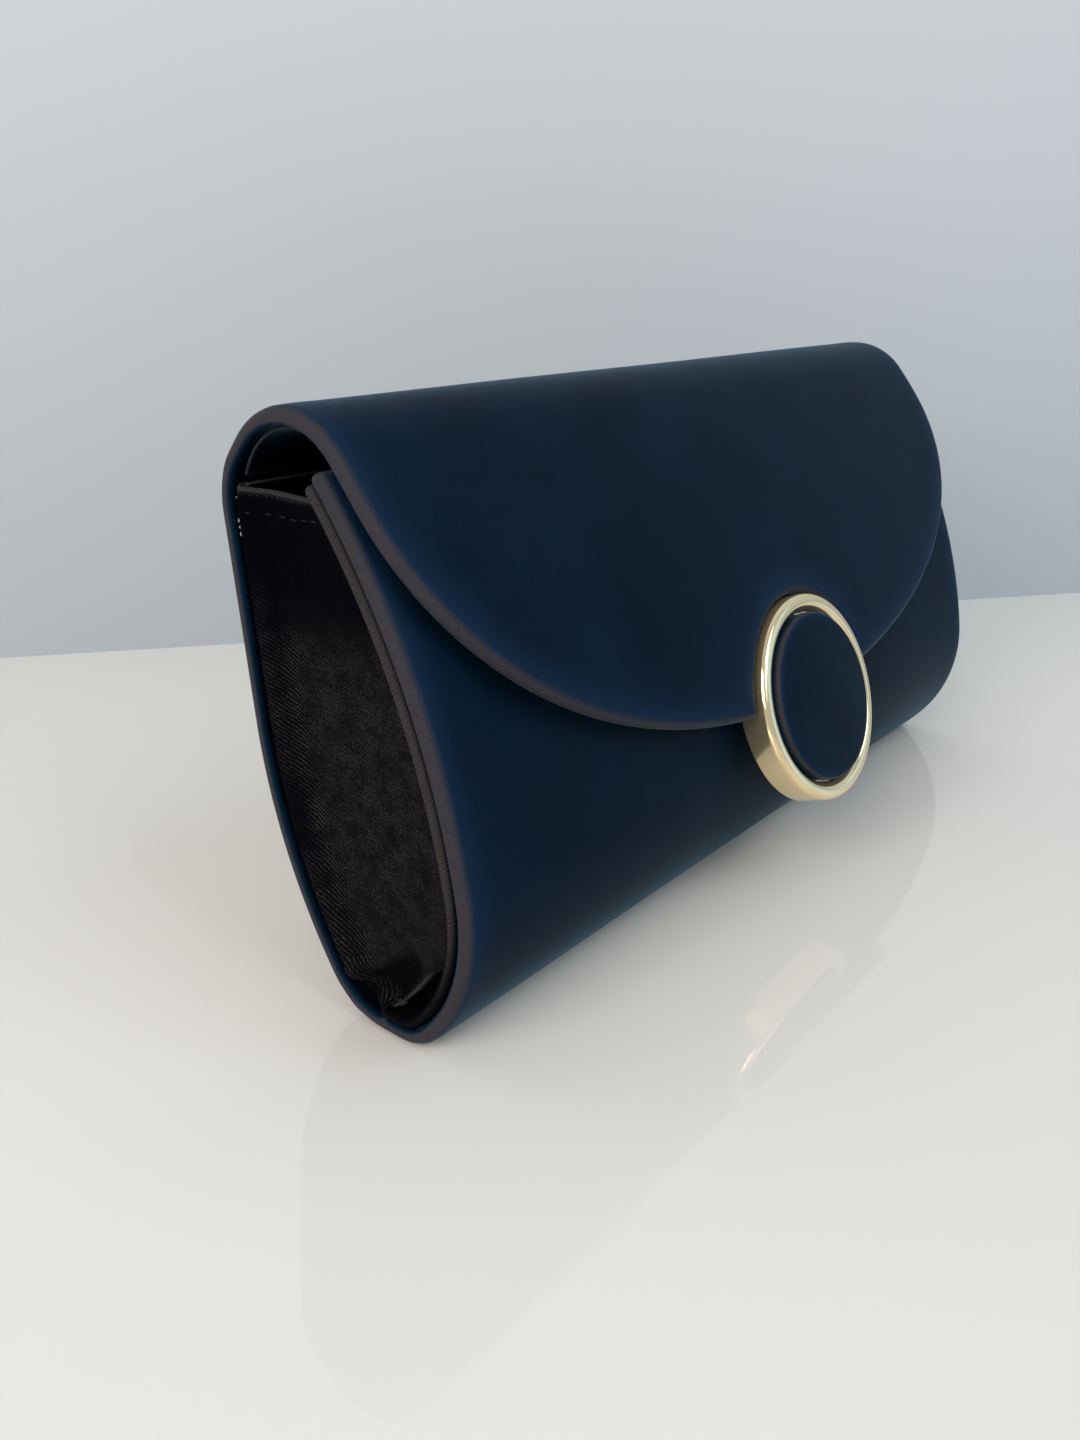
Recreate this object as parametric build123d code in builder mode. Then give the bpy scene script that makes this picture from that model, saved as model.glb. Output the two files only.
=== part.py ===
"""Structured evening clutch with an arched flap and a ring clasp, in millimetres.

The frame: X runs along the purse, -Y is the front and +Z is up. The origin is the middle of the
flat strip that the purse stands on. One smooth outline in the YZ plane shapes every layer: down
the front wall, round the base, up the back wall to the crease, over the arch and down the flap.
A layer is the band between two insets from that outline.
"""
from build123d import *
from math import atan2, copysign, cos, degrees, radians, sin
import os

os.makedirs("parts", exist_ok=True)

# ---- overall ----
body_width = 216.0            # along X, over the rolled edges
flap_reveal = 0.8             # the body's edge that shows beside the flap

# ---- outline of the section: radii, and turns in degrees ----
base_flat = 9.8               # strip that the purse stands on
front_low_radius = 8.4        # under the front
front_low_angle = 42.6
front_mid_radius = 37.0       # belly of the front
front_mid_angle = 56.6
front_radius = 149.0          # front wall up to its top edge
front_angle = 29.4
back_low_radius = 9.0         # under the back
back_low_angle = 54.0
back_radius = 106.3           # lower back wall
back_angle = 30.1
arch_radius = 17.9
neck_angle = 25.0             # start of the arch, still part of the back wall
flap_radius = 167.7
mouth_gap = 0.85              # between the flap's lining and the front wall's top edge
clasp_gap = 4.37              # between them at the height of the flap's lowest point

# ---- layers, from the outside in ----
cover_thickness = 0.4         # satin
foam_thickness = 0.9
board_thickness = 1.3
glue_gap = 0.1                # glue film between two layers
turn_in = 9.0                 # satin folded over the edges onto the inside
panel_gap = 0.3               # between the shell and an inner panel
panel_thickness = 2.0         # lined card
panel_inset = 0.8             # the inner panels end this far inside the purse's ends
panel_seam = 0.5              # slit between the two inner panels, under the base
lining_thickness = 0.6        # flap lining with its folded hem
lining_margin = 3.5           # the lining stops this far inside the flap's edge
crease_gap = 0.3              # between the body's and the flap's pieces at the crease
board_joint = 0.6             # between two boards
crease_board_gap = 3.0        # boards and foam stop this far from the crease
rim_round = 0.9               # rolled outer edge of the covers

# ---- flap outline, seen from the front ----
flap_drop = 60.3              # from the front wall's top edge down to the flap's lowest point
shoulder_drop = 3.3           # from that edge down to where the sides start to curve in

# ---- gussets ----
ply_thickness = 0.6
gusset_inset = 4.0            # from the end of the purse to the gusset
gusset_flange = 7.0           # strip glued along the inner panels
gusset_drop = 1.9             # from the crease down to the hem's ends
gusset_sag = 1.6              # the hem is lower at its middle
hem_height = 4.0
hem_thickness = 1.3

# ---- clasp ----
ring_radius = 23.4
ring_depth = 7.0
ring_round = 1.3              # rounded outer front edge
ring_throat_radius = 16.8     # opening behind the button
ring_tilt = 20.0              # degrees that the clasp leans back
ring_proud = 2.16             # from the flap out to the middle of the ring's front face
ring_rise = 0.5               # that middle, above the flap's lowest point
notch_gap = 0.4               # between the ring and the flap round it
button_radius = 19.0          # over its satin
button_proud = 1.1            # its rim, in front of the ring's face
button_core_thickness = 4.2
button_dome = 0.8
button_gap = 0.2
button_hem = 4.0              # satin turned under the disc
peg_radius = 0.9              # cast pegs that hold the plate
peg_count = 4
plate_radius = 21.5
plate_thickness = 0.8
tongue_width = 14.0
tongue_reach = 31.5           # from the ring's middle to the tongue's end
rivet_radius = 1.2
rivet_head_radius = 2.0
rivet_head_height = 0.3
rivet_spacing = 8.0
rivet_inset = 3.5             # from the tongue's end
fixing_gap = 0.1              # round rivets and posts

# ---- magnetic snap ----
socket_radius = 6.5
socket_height = 3.3
socket_wall = 0.5
socket_hole_radius = 3.6
stud_radius = 2.6
stud_height = 1.4
stud_head_radius = 2.4
stud_head_height = 0.4
snap_gap = 0.25               # between the socket and the plate above it
post_radius = 1.4             # peened posts of both halves
washer_radius = 5.2
washer_thickness = 0.4

# ---- derived sizes ----
core_edge = cover_thickness + glue_gap
foam_inset = core_edge + foam_thickness
board_inset = foam_inset + glue_gap
board_inside = board_inset + board_thickness
shell_thickness = board_inside + core_edge
panel_inside = shell_thickness + panel_gap + panel_thickness
lining_inside = shell_thickness + glue_gap + lining_thickness
core_half = body_width / 2 - core_edge
flap_width = body_width - 2 * flap_reveal
through = 1.0                 # cuts run past a face by this much
far = body_width              # longer than anything that is cut


class Stretch:
    """One stretch of the outline: an arc that turns left, or a straight if it has no radius."""

    def __init__(self, start, heading, radius, size):
        self.start, self.heading, self.radius, self.size = start, heading, radius, size
        self.end_heading = heading + (size if radius else 0)
        if radius:
            self.center = start + left_of(heading) * radius
            self.end = self.center - left_of(self.end_heading) * radius
        else:
            self.end = start + ahead_of(heading) * size

    def draw(self, inset, lead=0.0, tail=0.0):
        """Adds the stretch to the line being built, with a length left off at either end."""
        if not self.radius:
            shift = left_of(self.heading) * inset
            run = ahead_of(self.heading)
            return Line(self.start + shift + run * lead, self.end + shift - run * tail)
        lead_turn, tail_turn = degrees(lead / self.radius), degrees(tail / self.radius)
        return CenterArc(
            self.center,
            self.radius - inset,
            self.heading - 90 + lead_turn,
            self.size - lead_turn - tail_turn,
        )


def ahead_of(heading):
    return Vector(cos(radians(heading)), sin(radians(heading)))


def left_of(heading):
    return Vector(-sin(radians(heading)), cos(radians(heading)))


def before(following, radius, turn):
    """The arc that runs into the start of another stretch."""
    heading = following.heading - turn
    center = following.start + left_of(following.heading) * radius
    return Stretch(center - left_of(heading) * radius, heading, radius, turn)


def after(previous, radius, size):
    return Stretch(previous.end, previous.end_heading, radius, size)


def on_circle(center, radius, height):
    """The foremost point of a circle at a height."""
    return Vector(center.X - (radius**2 - (height - center.Y) ** 2) ** 0.5, height)


def meeting(upper, upper_reach, lower, lower_reach):
    """The centre of an arc at given distances from two points, behind them."""
    way = lower - upper
    along = (way.length + (upper_reach**2 - lower_reach**2) / way.length) / 2
    behind = Vector(-way.Y, way.X).normalized()
    return upper + way.normalized() * along + behind * (upper_reach**2 - along**2) ** 0.5


def distance_to_circle(point, way, center, radius):
    """How far it is from a point to a circle round it, one way."""
    reach = point - center
    return (reach.dot(way) ** 2 - reach.length**2 + radius**2) ** 0.5 - reach.dot(way)


def heading_round(center, point):
    """The heading of a left turn about a centre where it passes over a point."""
    return degrees(atan2(point.Y - center.Y, point.X - center.X)) % 360 + 90


floor = Stretch(Vector(-base_flat / 2, 0), 0, None, base_flat)
front_low = before(floor, front_low_radius, front_low_angle)
front_mid = before(front_low, front_mid_radius, front_mid_angle)
front_wall = before(front_mid, front_radius, front_angle)
back_low = after(floor, back_low_radius, back_low_angle)
back_bow = after(back_low, back_radius, back_angle)

# the flap hangs in front of the front wall, with its two clearances from the wall's outside
mouth_edge = front_wall.start
flap_bottom = mouth_edge.Y - flap_drop
flap_shoulder = mouth_edge.Y - shoulder_drop
behind_clasp = on_circle(front_wall.center, front_radius, flap_bottom)
flap_inside = flap_radius - lining_inside
flap_center = meeting(mouth_edge, flap_inside - mouth_gap, behind_clasp, flap_inside - clasp_gap)

# the arch touches the upright back and runs into the flap
arch_track = back_bow.end + left_of(back_bow.end_heading) * arch_radius
upright_way = ahead_of(back_bow.end_heading)
upright_rise = distance_to_circle(
    arch_track, upright_way, flap_center, flap_radius - arch_radius
)
arch_center = arch_track + upright_way * upright_rise
flap_start = heading_round(flap_center, arch_center)
flap_end = heading_round(flap_center, on_circle(flap_center, flap_radius, flap_bottom - through))

back_upright = after(back_bow, None, upright_rise)
neck = after(back_upright, arch_radius, neck_angle)
arch = after(neck, arch_radius, flap_start - neck.end_heading)
apron = after(arch, flap_radius, flap_end - flap_start)
gusset_top = neck.end.Y - gusset_drop

front_run = [front_wall, front_mid, front_low]
base_run = [front_mid, front_low, floor, back_low]
back_run = [back_low, back_bow, back_upright, neck]
body_run = front_run + [floor] + back_run
flap_run = [arch, apron]


def layer(run, outer, inner, half_width, lead=0.0, tail=0.0):
    """The band between two insets along a run of stretches, over a width in X."""
    with BuildPart() as sheet:
        with BuildSketch(Plane.YZ):
            with BuildLine():
                sides = []
                for inset in (outer, inner):
                    edges = [
                        stretch.draw(
                            inset,
                            lead if stretch is run[0] else 0,
                            tail if stretch is run[-1] else 0,
                        )
                        for stretch in run
                    ]
                    sides.append((edges[0] @ 0, edges[-1] @ 1))
                Line(sides[0][0], sides[1][0])
                Line(sides[0][1], sides[1][1])
            make_face()
        extrude(amount=half_width, both=True)
    return sheet.part


def on_outline(edge, run):
    """Whether an edge lies on the outer outline of a run of stretches."""
    for stretch in run:
        middle = stretch.draw(0) @ 0.5
        if abs(edge.center().Y - middle.X) + abs(edge.center().Z - middle.Y) < cover_thickness:
            return True
    return False


def on_arc(edge, stretch):
    """Whether an edge's middle lies on the cylinder of an arc of the outline."""
    middle = edge @ 0.5
    away = Vector(middle.Y, middle.Z) - stretch.center
    return abs(away.length - stretch.radius) < glue_gap


# ---- places that several pieces share ----
tilt = radians(ring_tilt)
flap_front = on_circle(flap_center, flap_radius, flap_bottom + ring_rise)
clasp_face = Plane(
    origin=(0, flap_front.X - ring_proud, flap_front.Y),
    x_dir=(1, 0, 0),
    z_dir=(0, -cos(tilt), sin(tilt)),
)
ring_back = clasp_face.offset(-ring_depth)
plate_back = ring_back.offset(-plate_thickness)
socket_front = plate_back.offset(-snap_gap)
socket_back = socket_front.offset(-socket_height)
notch_radius = ring_radius + notch_gap
rivet_places = [(side * rivet_spacing / 2, tongue_reach - rivet_inset) for side in (-1, 1)]


def flap_layer(outer, inner, margin, lead):
    """A layer of the flap: its outline is inset by the margin, the notch is larger by it."""
    half_width = flap_width / 2 - margin
    drop = flap_shoulder - flap_bottom - margin
    with BuildPart() as sheet:
        add(layer(flap_run, outer, inner, half_width, lead=lead))
        with BuildSketch(Plane.XZ):
            with Locations((0, flap_shoulder)):
                Ellipse(half_width, drop)
                Rectangle(2 * half_width, far, align=(Align.CENTER, Align.MIN))
        extrude(amount=far, both=True, mode=Mode.INTERSECT)
        with BuildSketch(clasp_face):
            Circle(notch_radius + margin)
        extrude(amount=ring_depth + lining_inside, both=True, mode=Mode.SUBTRACT)
    return sheet.part


# the seat of the snap's lower half in the front wall, with its post's hole
with BuildPart() as socket_seat:
    with BuildSketch(socket_back):
        Circle(socket_radius + fixing_gap)
    extrude(amount=socket_height)
    with BuildSketch(socket_back):
        Circle(post_radius + fixing_gap)
    extrude(amount=-shell_thickness)

# ---- body cover: satin round the front, base and back, turned in at the edges ----
shell = layer(body_run, 0, shell_thickness, body_width / 2, tail=crease_gap / 2)
shell_core = layer(
    body_run,
    cover_thickness,
    shell_thickness - cover_thickness,
    body_width / 2 - cover_thickness,
    lead=cover_thickness,
)
shell_window = layer(
    body_run,
    shell_thickness - cover_thickness - glue_gap,
    shell_thickness + through,
    body_width / 2 - turn_in,
    lead=turn_in,
)
with BuildPart() as body_cover:
    add(shell)
    outline_rims = [
        edge
        for edge in body_cover.edges()
        if abs(abs(edge.center().X) - body_width / 2) < glue_gap and on_outline(edge, body_run)
    ]
    fillet(outline_rims, rim_round)
    add(shell_core, mode=Mode.SUBTRACT)
    add(shell_window, mode=Mode.SUBTRACT)
    add(socket_seat.part, mode=Mode.SUBTRACT)
body_cover.part.label = "body_cover"

# ---- body padding and boards ----
with BuildPart() as body_foam:
    add(layer(body_run, core_edge, foam_inset, core_half, lead=core_edge, tail=crease_board_gap))
    add(socket_seat.part, mode=Mode.SUBTRACT)
body_foam.part.label = "body_foam"

with BuildPart() as front_board:
    add(
        layer(
            [front_wall], board_inset, board_inside, core_half, lead=core_edge, tail=board_joint / 2
        )
    )
    add(socket_seat.part, mode=Mode.SUBTRACT)
front_board.part.label = "front_board"

with BuildPart() as base_board:
    add(
        layer(
            base_run,
            board_inset,
            board_inside,
            core_half,
            lead=board_joint / 2,
            tail=board_joint / 2,
        )
    )
base_board.part.label = "base_board"

with BuildPart() as back_board:
    add(
        layer(
            back_run[1:],
            board_inset,
            board_inside,
            core_half,
            lead=board_joint / 2,
            tail=crease_board_gap,
        )
    )
back_board.part.label = "back_board"

# ---- inner panels: lined cards that meet in a slit under the base ----
half_slit = panel_seam / 2
front_floor = Stretch(floor.start, floor.heading, None, base_flat / 2 - half_slit)
back_floor = Stretch(Vector(half_slit, 0), floor.heading, None, base_flat / 2 - half_slit)
panel_outside = shell_thickness + panel_gap

with BuildPart() as front_inner_panel:
    add(
        layer(
            front_run + [front_floor],
            panel_outside,
            panel_inside,
            body_width / 2 - panel_inset,
            lead=panel_inset,
        )
    )
front_inner_panel.part.label = "front_inner_panel"

with BuildPart() as back_inner_panel:
    add(
        layer(
            [back_floor] + back_run,
            panel_outside,
            panel_inside,
            body_width / 2 - panel_inset,
            tail=panel_inset,
        )
    )
back_inner_panel.part.label = "back_inner_panel"


# ---- gussets: a twill end panel with a flange glued along the inner panels, and an inner ply ----
def end_blank(inset, outside, thickness, lowered=0.0):
    """Fills the left end inside an inset of the walls, up to the sagging hem or lower."""
    top = gusset_top - lowered
    with BuildPart() as blank:
        with BuildSketch(Plane.YZ.offset(outside - body_width / 2)):
            with BuildLine():
                edges = [stretch.draw(inset) for stretch in body_run]
                Line(edges[0] @ 0, edges[-1] @ 1)
            make_face()
            front, back = (edges[0] @ 0).X, (edges[-1] @ 1).X
            with BuildLine():
                sag = ThreePointArc((front, top), ((front + back) / 2, top - gusset_sag), (back, top))
                Polyline(sag @ 1, (far, top), (far, -far), (-far, -far), (-far, top), sag @ 0)
            make_face(mode=Mode.INTERSECT)
        extrude(amount=thickness)
    return blank.part


gusset_edge = panel_inside + glue_gap
gusset_outer = end_blank(gusset_edge, gusset_inset, gusset_flange)
gusset_hollow = end_blank(
    gusset_edge + ply_thickness, gusset_inset + ply_thickness, gusset_flange, lowered=-through
)
gusset_hem = end_blank(gusset_edge, gusset_inset + ply_thickness - hem_thickness, hem_thickness)
below_hem = end_blank(gusset_edge, 0, gusset_flange, lowered=hem_height)
with BuildPart() as gusset_left:
    add(gusset_hem)
    add(below_hem, mode=Mode.SUBTRACT)
    add(gusset_outer)
    add(gusset_hollow, mode=Mode.SUBTRACT)
gusset_left.part.label = "gusset_left"

lining_ply = end_blank(
    gusset_edge + ply_thickness + glue_gap,
    gusset_inset + ply_thickness + glue_gap,
    ply_thickness,
)
with BuildPart() as gusset_lining_left:
    add(lining_ply)
gusset_lining_left.part.label = "gusset_lining_left"

with BuildPart() as gusset_right:
    mirror(gusset_left.part, about=Plane.YZ)
gusset_right.part.label = "gusset_right"

with BuildPart() as gusset_lining_right:
    mirror(gusset_lining_left.part, about=Plane.YZ)
gusset_lining_right.part.label = "gusset_lining_right"

# ---- magnetic snap, lower half: a shell round a ring magnet, its post peened over a washer ----
def crossing(origin, direction, arc, inset):
    """Distance from a point, along a direction in the section, to an arc at an inset."""
    reach = Vector(origin.Y, origin.Z) - arc.center
    step = Vector(direction.Y, direction.Z)
    half = reach.dot(step)
    root = (half**2 - reach.length**2 + (arc.radius - inset) ** 2) ** 0.5
    return -half + copysign(root, half)


inward = clasp_face.z_dir * -1
washer_distance = crossing(socket_back.origin, inward, front_wall, board_inside + glue_gap)
post_length = crossing(socket_back.origin, inward, front_wall, shell_thickness)
washer_middle = socket_back.origin + inward * washer_distance
wall_normal = Vector(0, washer_middle.Y - front_wall.center.X, washer_middle.Z - front_wall.center.Y)
washer_face = Plane(origin=washer_middle, x_dir=(1, 0, 0), z_dir=wall_normal)
socket_inside = socket_radius - socket_wall

with BuildPart() as snap_socket:
    with BuildSketch(socket_front):
        Circle(socket_radius)
    extrude(amount=-socket_height)
    with BuildSketch(socket_front):
        Circle(socket_hole_radius)
    extrude(amount=-socket_wall, mode=Mode.SUBTRACT)
    with BuildSketch(socket_front.offset(-socket_wall)):
        Circle(socket_inside)
    extrude(amount=2 * socket_wall - socket_height, mode=Mode.SUBTRACT)
    with BuildSketch(socket_back):
        Circle(post_radius)
    extrude(amount=-post_length)
snap_socket.part.label = "snap_socket"

with BuildPart() as snap_magnet:
    with BuildSketch(socket_front.offset(-socket_wall - fixing_gap)):
        Circle(socket_inside - fixing_gap)
        Circle(socket_hole_radius + fixing_gap, mode=Mode.SUBTRACT)
    extrude(amount=2 * socket_wall + 2 * fixing_gap - socket_height)
snap_magnet.part.label = "snap_magnet"

with BuildPart() as snap_washer:
    with BuildSketch(washer_face):
        Circle(washer_radius)
        Circle(post_radius + 2 * fixing_gap, mode=Mode.SUBTRACT)
    extrude(amount=-washer_thickness)
snap_washer.part.label = "snap_washer"

# ---- flap: cover, padding, moulded board and lining ----
rivet_start = plate_back.from_local_coords(Vector(0, tongue_reach - rivet_inset))
board_middle = board_inset + board_thickness / 2
rivet_length = crossing(rivet_start, clasp_face.z_dir, apron, board_middle)

with BuildPart() as rivet_holes:
    with BuildSketch(plate_back):
        with Locations(rivet_places):
            Circle(rivet_radius + fixing_gap)
    extrude(amount=rivet_length + glue_gap)

with BuildPart() as flap_shell:
    add(flap_layer(0, shell_thickness, 0, crease_gap / 2))
    flap_rims = [
        edge
        for edge in flap_shell.edges()
        if abs((edge @ 0.5).X) > ring_radius and on_arc(edge, arch) + on_arc(edge, apron)
    ]
    fillet(flap_rims, rim_round)
flap_core = flap_layer(cover_thickness, shell_thickness - cover_thickness, cover_thickness, 0)
flap_window = flap_layer(shell_thickness - core_edge, shell_thickness + through, turn_in, 0)
with BuildPart() as flap_cover:
    add(flap_shell.part)
    add(flap_core, mode=Mode.SUBTRACT)
    add(flap_window, mode=Mode.SUBTRACT)
    add(rivet_holes.part, mode=Mode.SUBTRACT)
flap_cover.part.label = "flap_cover"

with BuildPart() as flap_foam:
    add(flap_layer(core_edge, foam_inset, core_edge, crease_board_gap))
flap_foam.part.label = "flap_foam"

with BuildPart() as flap_board:
    add(flap_layer(board_inset, board_inside, core_edge, crease_board_gap))
    add(rivet_holes.part, mode=Mode.SUBTRACT)
flap_board.part.label = "flap_board"

with BuildPart() as flap_lining:
    add(flap_layer(shell_thickness + glue_gap, lining_inside, lining_margin, panel_inset))
    add(rivet_holes.part, mode=Mode.SUBTRACT)
flap_lining.part.label = "flap_lining"

# ---- clasp: cast ring, its back plate with a tongue riveted to the flap board ----
seat_depth = button_core_thickness + 2 * core_edge - button_proud
peg_circle = (ring_throat_radius + plate_radius) / 2

with BuildPart() as clasp_ring:
    with BuildSketch(clasp_face):
        Circle(ring_radius)
    extrude(amount=-ring_depth)
    front_edge = clasp_ring.edges().filter_by(GeomType.CIRCLE).sort_by(Axis.Y)[0]
    fillet(front_edge, ring_round)
    with BuildSketch(clasp_face):
        Circle(button_radius + button_gap)
    extrude(amount=-seat_depth, mode=Mode.SUBTRACT)
    with BuildSketch(clasp_face):
        Circle(ring_throat_radius)
    extrude(amount=-ring_depth, mode=Mode.SUBTRACT)
    with BuildSketch(ring_back):
        with PolarLocations(peg_circle, peg_count):
            Circle(peg_radius)
    extrude(amount=-plate_thickness)
clasp_ring.part.label = "clasp_ring"

with BuildPart() as clasp_back_plate:
    with BuildSketch(ring_back):
        Circle(plate_radius)
        Rectangle(tongue_width, tongue_reach, align=(Align.CENTER, Align.MIN))
        with PolarLocations(peg_circle, peg_count):
            Circle(peg_radius + fixing_gap, mode=Mode.SUBTRACT)
        with Locations(rivet_places):
            Circle(rivet_radius + fixing_gap, mode=Mode.SUBTRACT)
        Circle(post_radius + fixing_gap, mode=Mode.SUBTRACT)
    extrude(amount=-plate_thickness)
clasp_back_plate.part.label = "clasp_back_plate"

with BuildPart() as clasp_rivets:
    with BuildSketch(plate_back):
        with Locations(rivet_places):
            Circle(rivet_head_radius)
    extrude(amount=-rivet_head_height)
    with BuildSketch(plate_back):
        with Locations(rivet_places):
            Circle(rivet_radius)
    extrude(amount=rivet_length)
clasp_rivets.part.label = "clasp_rivets"

with BuildPart() as snap_stud:
    with BuildSketch(plate_back):
        Circle(stud_radius)
    extrude(amount=-stud_height)
    with BuildSketch(plate_back):
        Circle(post_radius)
    extrude(amount=plate_thickness)
    with BuildSketch(ring_back):
        Circle(stud_head_radius)
    extrude(amount=stud_head_height)
snap_stud.part.label = "snap_stud"


# ---- button: a domed disc with satin stretched over it ----
def domed_disc(radius, bottom, rim):
    """A disc round the clasp's axis, from a depth out to its rim, with the button's dome on its front."""
    side = Plane(
        origin=clasp_face.origin, x_dir=clasp_face.x_dir, z_dir=clasp_face.x_dir.cross(clasp_face.z_dir)
    )
    with BuildPart() as disc:
        with BuildSketch(side):
            with BuildLine():
                top = Vector(0, rim + button_dome)
                dome = TangentArc(top, (radius, rim), tangent=(1, 0))
                Polyline(dome @ 1, (radius, -bottom), (0, -bottom), dome @ 0)
            make_face()
        revolve(axis=Axis(clasp_face.origin, clasp_face.z_dir))
    return disc.part


button_skin = domed_disc(button_radius, seat_depth, button_proud)
button_hollow = domed_disc(
    button_radius - cover_thickness, seat_depth - cover_thickness, button_proud - cover_thickness
)
with BuildPart() as button_cover:
    add(button_skin)
    add(button_hollow, mode=Mode.SUBTRACT)
    with BuildSketch(clasp_face.offset(-seat_depth)):
        Circle(button_radius - button_hem)
    extrude(amount=core_edge, mode=Mode.SUBTRACT)
button_cover.part.label = "button_cover"

with BuildPart() as button_core:
    add(domed_disc(button_radius - core_edge, seat_depth - core_edge, button_proud - core_edge))
button_core.part.label = "button_core"

# ---- one file for each piece ----
pieces = [
    body_cover,
    body_foam,
    front_board,
    base_board,
    back_board,
    front_inner_panel,
    back_inner_panel,
    gusset_left,
    gusset_right,
    gusset_lining_left,
    gusset_lining_right,
    snap_socket,
    snap_magnet,
    snap_washer,
    flap_cover,
    flap_foam,
    flap_board,
    flap_lining,
    clasp_ring,
    clasp_back_plate,
    clasp_rivets,
    snap_stud,
    button_cover,
    button_core,
]
for piece in pieces:
    export_step(piece.part, f"parts/{piece.part.label}.step")
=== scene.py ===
"""Evening clutch: navy satin stretched over padded boards, twill gussets and a ring clasp.

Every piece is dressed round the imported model, in its place and at its size. Shapes are worked out
in millimetres and go into their meshes in metres.
"""
from math import pi, radians

import bmesh
import bpy
import numpy as np
from mathutils import Matrix, Vector


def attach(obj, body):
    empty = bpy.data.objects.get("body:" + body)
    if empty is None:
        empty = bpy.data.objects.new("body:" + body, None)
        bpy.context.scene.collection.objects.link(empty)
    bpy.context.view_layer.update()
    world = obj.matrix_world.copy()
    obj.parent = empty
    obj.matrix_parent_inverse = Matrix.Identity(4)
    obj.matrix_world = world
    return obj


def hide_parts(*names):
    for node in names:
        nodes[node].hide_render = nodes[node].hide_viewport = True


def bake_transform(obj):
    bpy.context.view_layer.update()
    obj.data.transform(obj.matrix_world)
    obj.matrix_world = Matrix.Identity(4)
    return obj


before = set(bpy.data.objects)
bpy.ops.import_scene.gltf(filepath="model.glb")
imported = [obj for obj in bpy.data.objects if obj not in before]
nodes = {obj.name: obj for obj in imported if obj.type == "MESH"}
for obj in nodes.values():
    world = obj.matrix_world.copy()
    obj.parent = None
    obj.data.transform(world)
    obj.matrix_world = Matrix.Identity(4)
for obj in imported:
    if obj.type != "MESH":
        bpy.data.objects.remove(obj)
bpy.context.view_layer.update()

# ---- camera ----
# Close to the purse's left end and a little above it, with a wide lens.
lens = bpy.data.cameras.new("camera")
lens.lens, lens.sensor_width, lens.clip_start = 29.56, 36.0, 0.01
camera = bpy.data.objects.new("camera", lens)
camera_place = (-0.23263, -0.14102, 0.13542)
rightwards, upwards, ahead = (0.6369, -0.7709, -0.0004), (0.2789, 0.2300, 0.9324), (0.7187, 0.5940, -0.3615)
camera_turn = Matrix((rightwards, upwards, [-a for a in ahead])).transposed()
camera.matrix_world = Matrix.Translation(camera_place) @ camera_turn.to_4x4()
bpy.context.scene.collection.objects.link(camera)
bpy.context.scene.camera = camera

# ---- front wall: foam and board in navy satin, from the mouth's edge down under the base ----
# The satin is pulled round the board's edges and glued inside, so every edge is a soft roll. The
# front piece ends at a seam under the base, a little past the start of the strip it stands on.
wall_thickness, wall_swell, half_length, corner_round, seam_back = 3.1, 0.15, 108.0, 1.2, 4.12
millimetre = 0.001

# The purse's section, from the mouth's edge down the front, under the base, up the back, over the
# arch and down the flap: the radius and turn in degrees of each arc, or None and a straight's length.
mouth_edge, mouth_heading = (8.5714, 104.4888), -128.6
outline = [(149.0, 29.4), (37.0, 54.9), (10.4, 44.3), (None, 5.1), (16.5, 56.4), (106.3, 27.7),
           (None, 38.6323), (17.9, 25.0), (17.9, 120.589), (167.7, 30.0)]


def along_outline(length):
    """Points and inward directions at lengths along the outline, counted from the mouth's edge:
    an arc carries its point round its centre, a straight carries it ahead."""
    length = np.asarray(length, float)
    point, inward = np.zeros(length.shape + (2,)), np.zeros(length.shape + (2,))
    start, heading, passed = np.array(mouth_edge), radians(mouth_heading), 0.0
    for radius, size in outline:
        here = length >= passed - 1e-9
        run = length[here] - passed
        left = np.array([-np.sin(heading), np.cos(heading)])
        if radius is None:
            ahead_way = np.array([np.cos(heading), np.sin(heading)])
            point[here] = start + run[:, None] * ahead_way
            inward[here] = left
            start, passed = start + size * ahead_way, passed + size
            continue
        turn = heading + run / radius
        inward[here] = np.stack([-np.sin(turn), np.cos(turn)], -1)
        centre = start + radius * left
        point[here] = centre - radius * inward[here]
        heading += radians(size)
        start = centre - radius * np.array([-np.sin(heading), np.cos(heading)])
        passed += radius * radians(size)
    return point, inward


spans = [size if radius is None else radius * radians(size) for radius, size in outline]
stations = np.concatenate([[0.0], np.cumsum(spans)])
front_foot, floor_start, floor_end, back_foot, crease = stations[[2, 3, 4, 5, 8]]


def bell(value, width):
    """A smooth bump: exp(-(value / width)^2)."""
    return np.exp(-((value / width) ** 2))


def edge_gap(x, length, rim):
    """How far each point of a flat pattern is from the pattern's rim: the least distance to any
    of the rim's segments, worked out for a twelfth of the points at a time."""
    where = np.stack([x.ravel(), length.ravel()], -1)
    start, way = rim[:-1], np.diff(rim, axis=0)
    nearest = np.zeros(len(where))
    for part in np.array_split(np.arange(len(where)), 12):
        off = where[part, None] - start
        share = np.clip((off * way).sum(-1) / np.maximum((way**2).sum(-1), 1e-12), 0, 1)
        nearest[part] = np.linalg.norm(off - share[..., None] * way, axis=-1).min(1)
    return nearest.reshape(x.shape)


def at_inset(x, length, inset):
    """Points over a flat pattern: the outline's point moved inwards by the inset, at the same x."""
    point, inward = along_outline(length)
    flat = point + inward * inset[..., None]
    return np.stack([x, flat[..., 0], flat[..., 1]], -1)


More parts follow.
